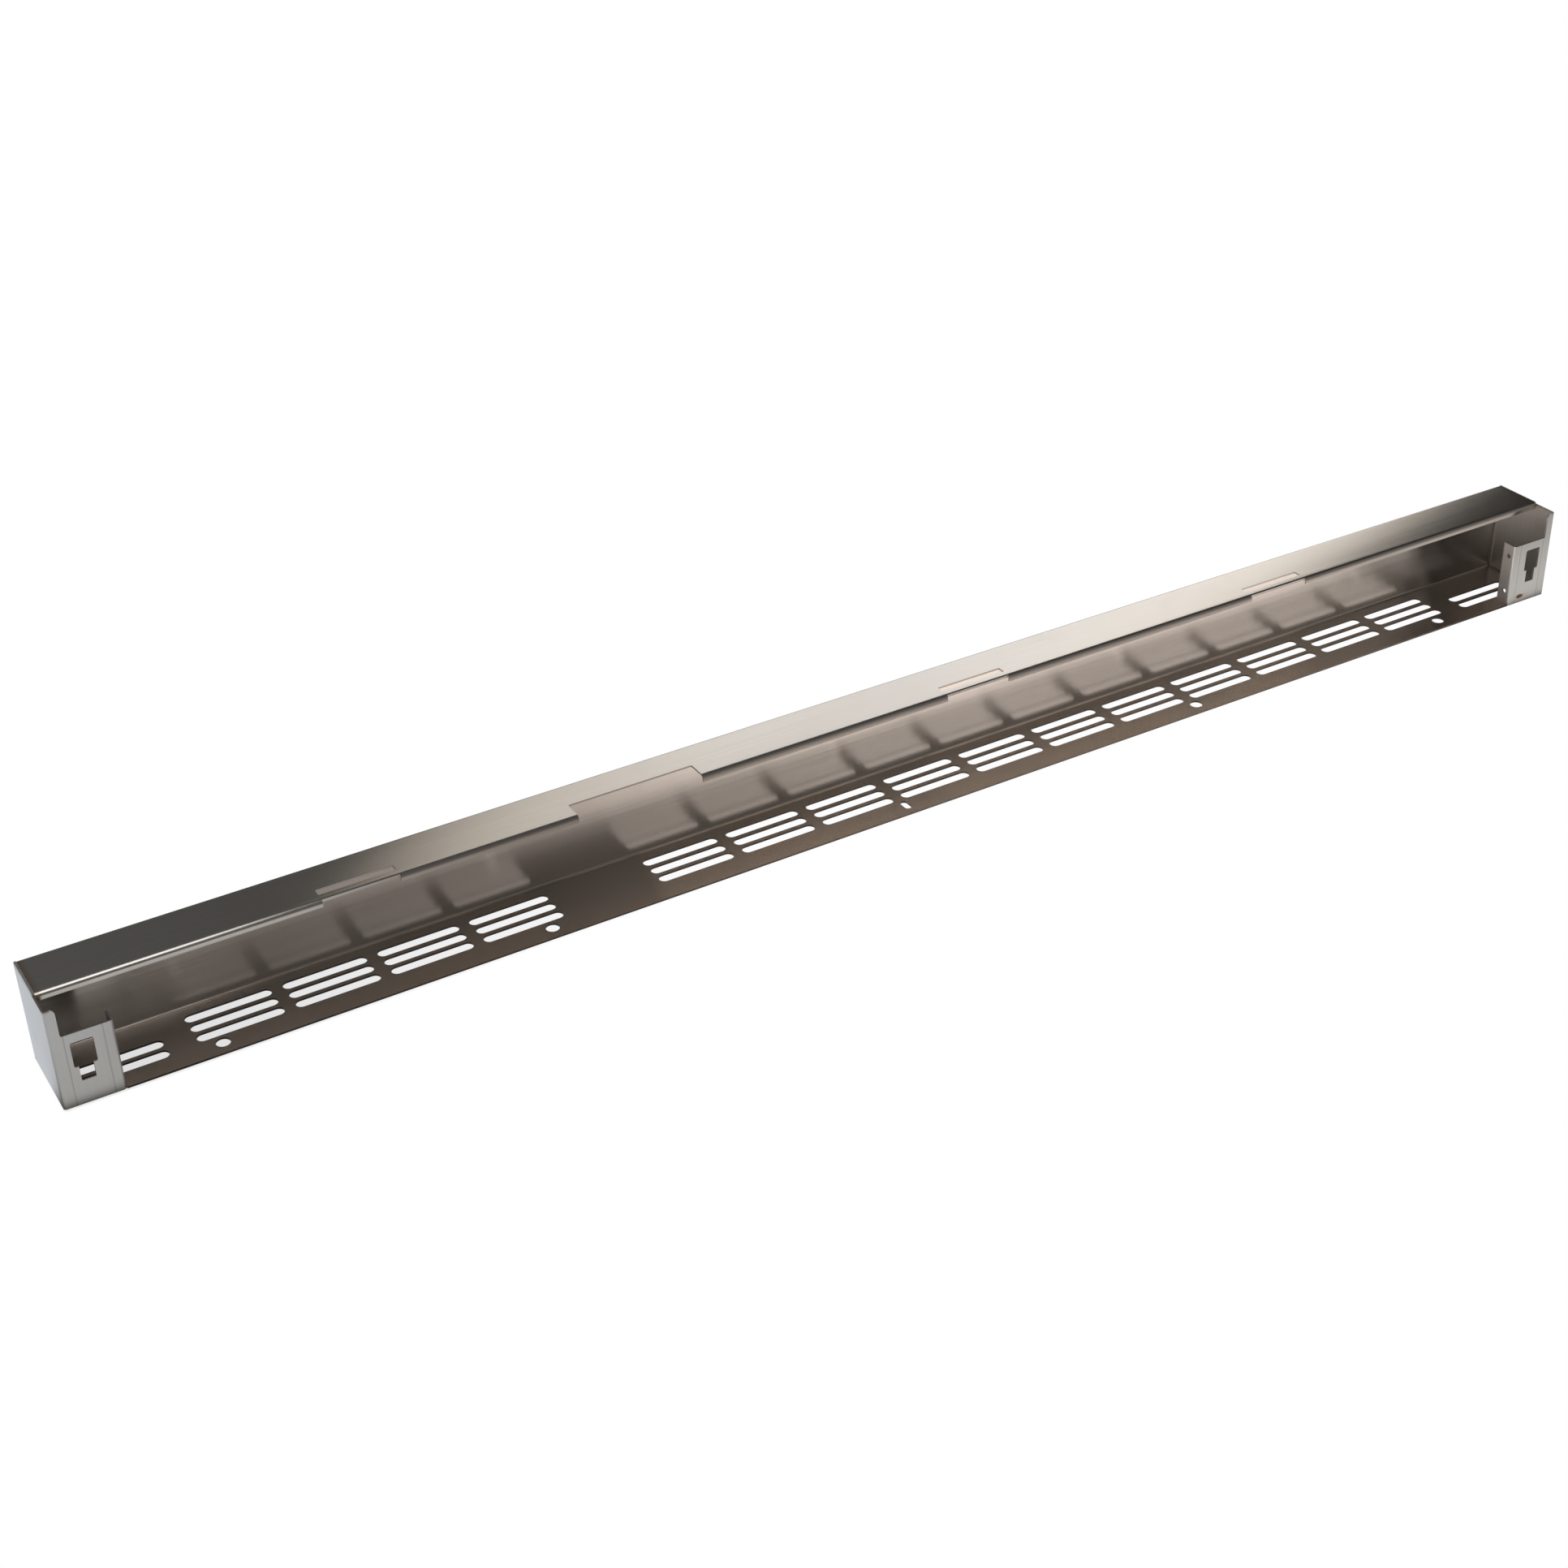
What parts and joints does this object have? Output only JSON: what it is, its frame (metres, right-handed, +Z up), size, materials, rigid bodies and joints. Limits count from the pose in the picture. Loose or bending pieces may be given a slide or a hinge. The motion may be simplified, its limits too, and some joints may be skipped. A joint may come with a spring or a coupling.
{
  "type": "slotted ventilation trim channel",
  "caption": "Long folded stainless sheet channel, open along one side, with ventilation slots in its floor, hook slots in its top flange and a keyhole plate at each end.",
  "frame": {"origin": "centre of the bounding box's underside, on the floor's outer face", "axes": "+X along the channel, +Y from the open side towards the back wall, +Z up from the slotted floor to the top flange"},
  "size_m": [0.896, 0.0444, 0.0544],
  "materials": {
    "brushed_sheet": "stainless sheet brushed along its length",
    "cap_sheet": "stainless sheet with an upright satin grain",
    "ground_weld": "weld metal ground flush outside, left as welded inside"
  },
  "bodies": {
    "root": {"channel": "brushed_sheet", "left_end_cap": "cap_sheet", "right_end_cap": "cap_sheet", "left_back_weld": "ground_weld", "left_top_weld": "ground_weld", "left_bottom_weld": "ground_weld", "right_back_weld": "ground_weld", "right_top_weld": "ground_weld", "right_bottom_weld": "ground_weld"}
  },
  "joints": []
}
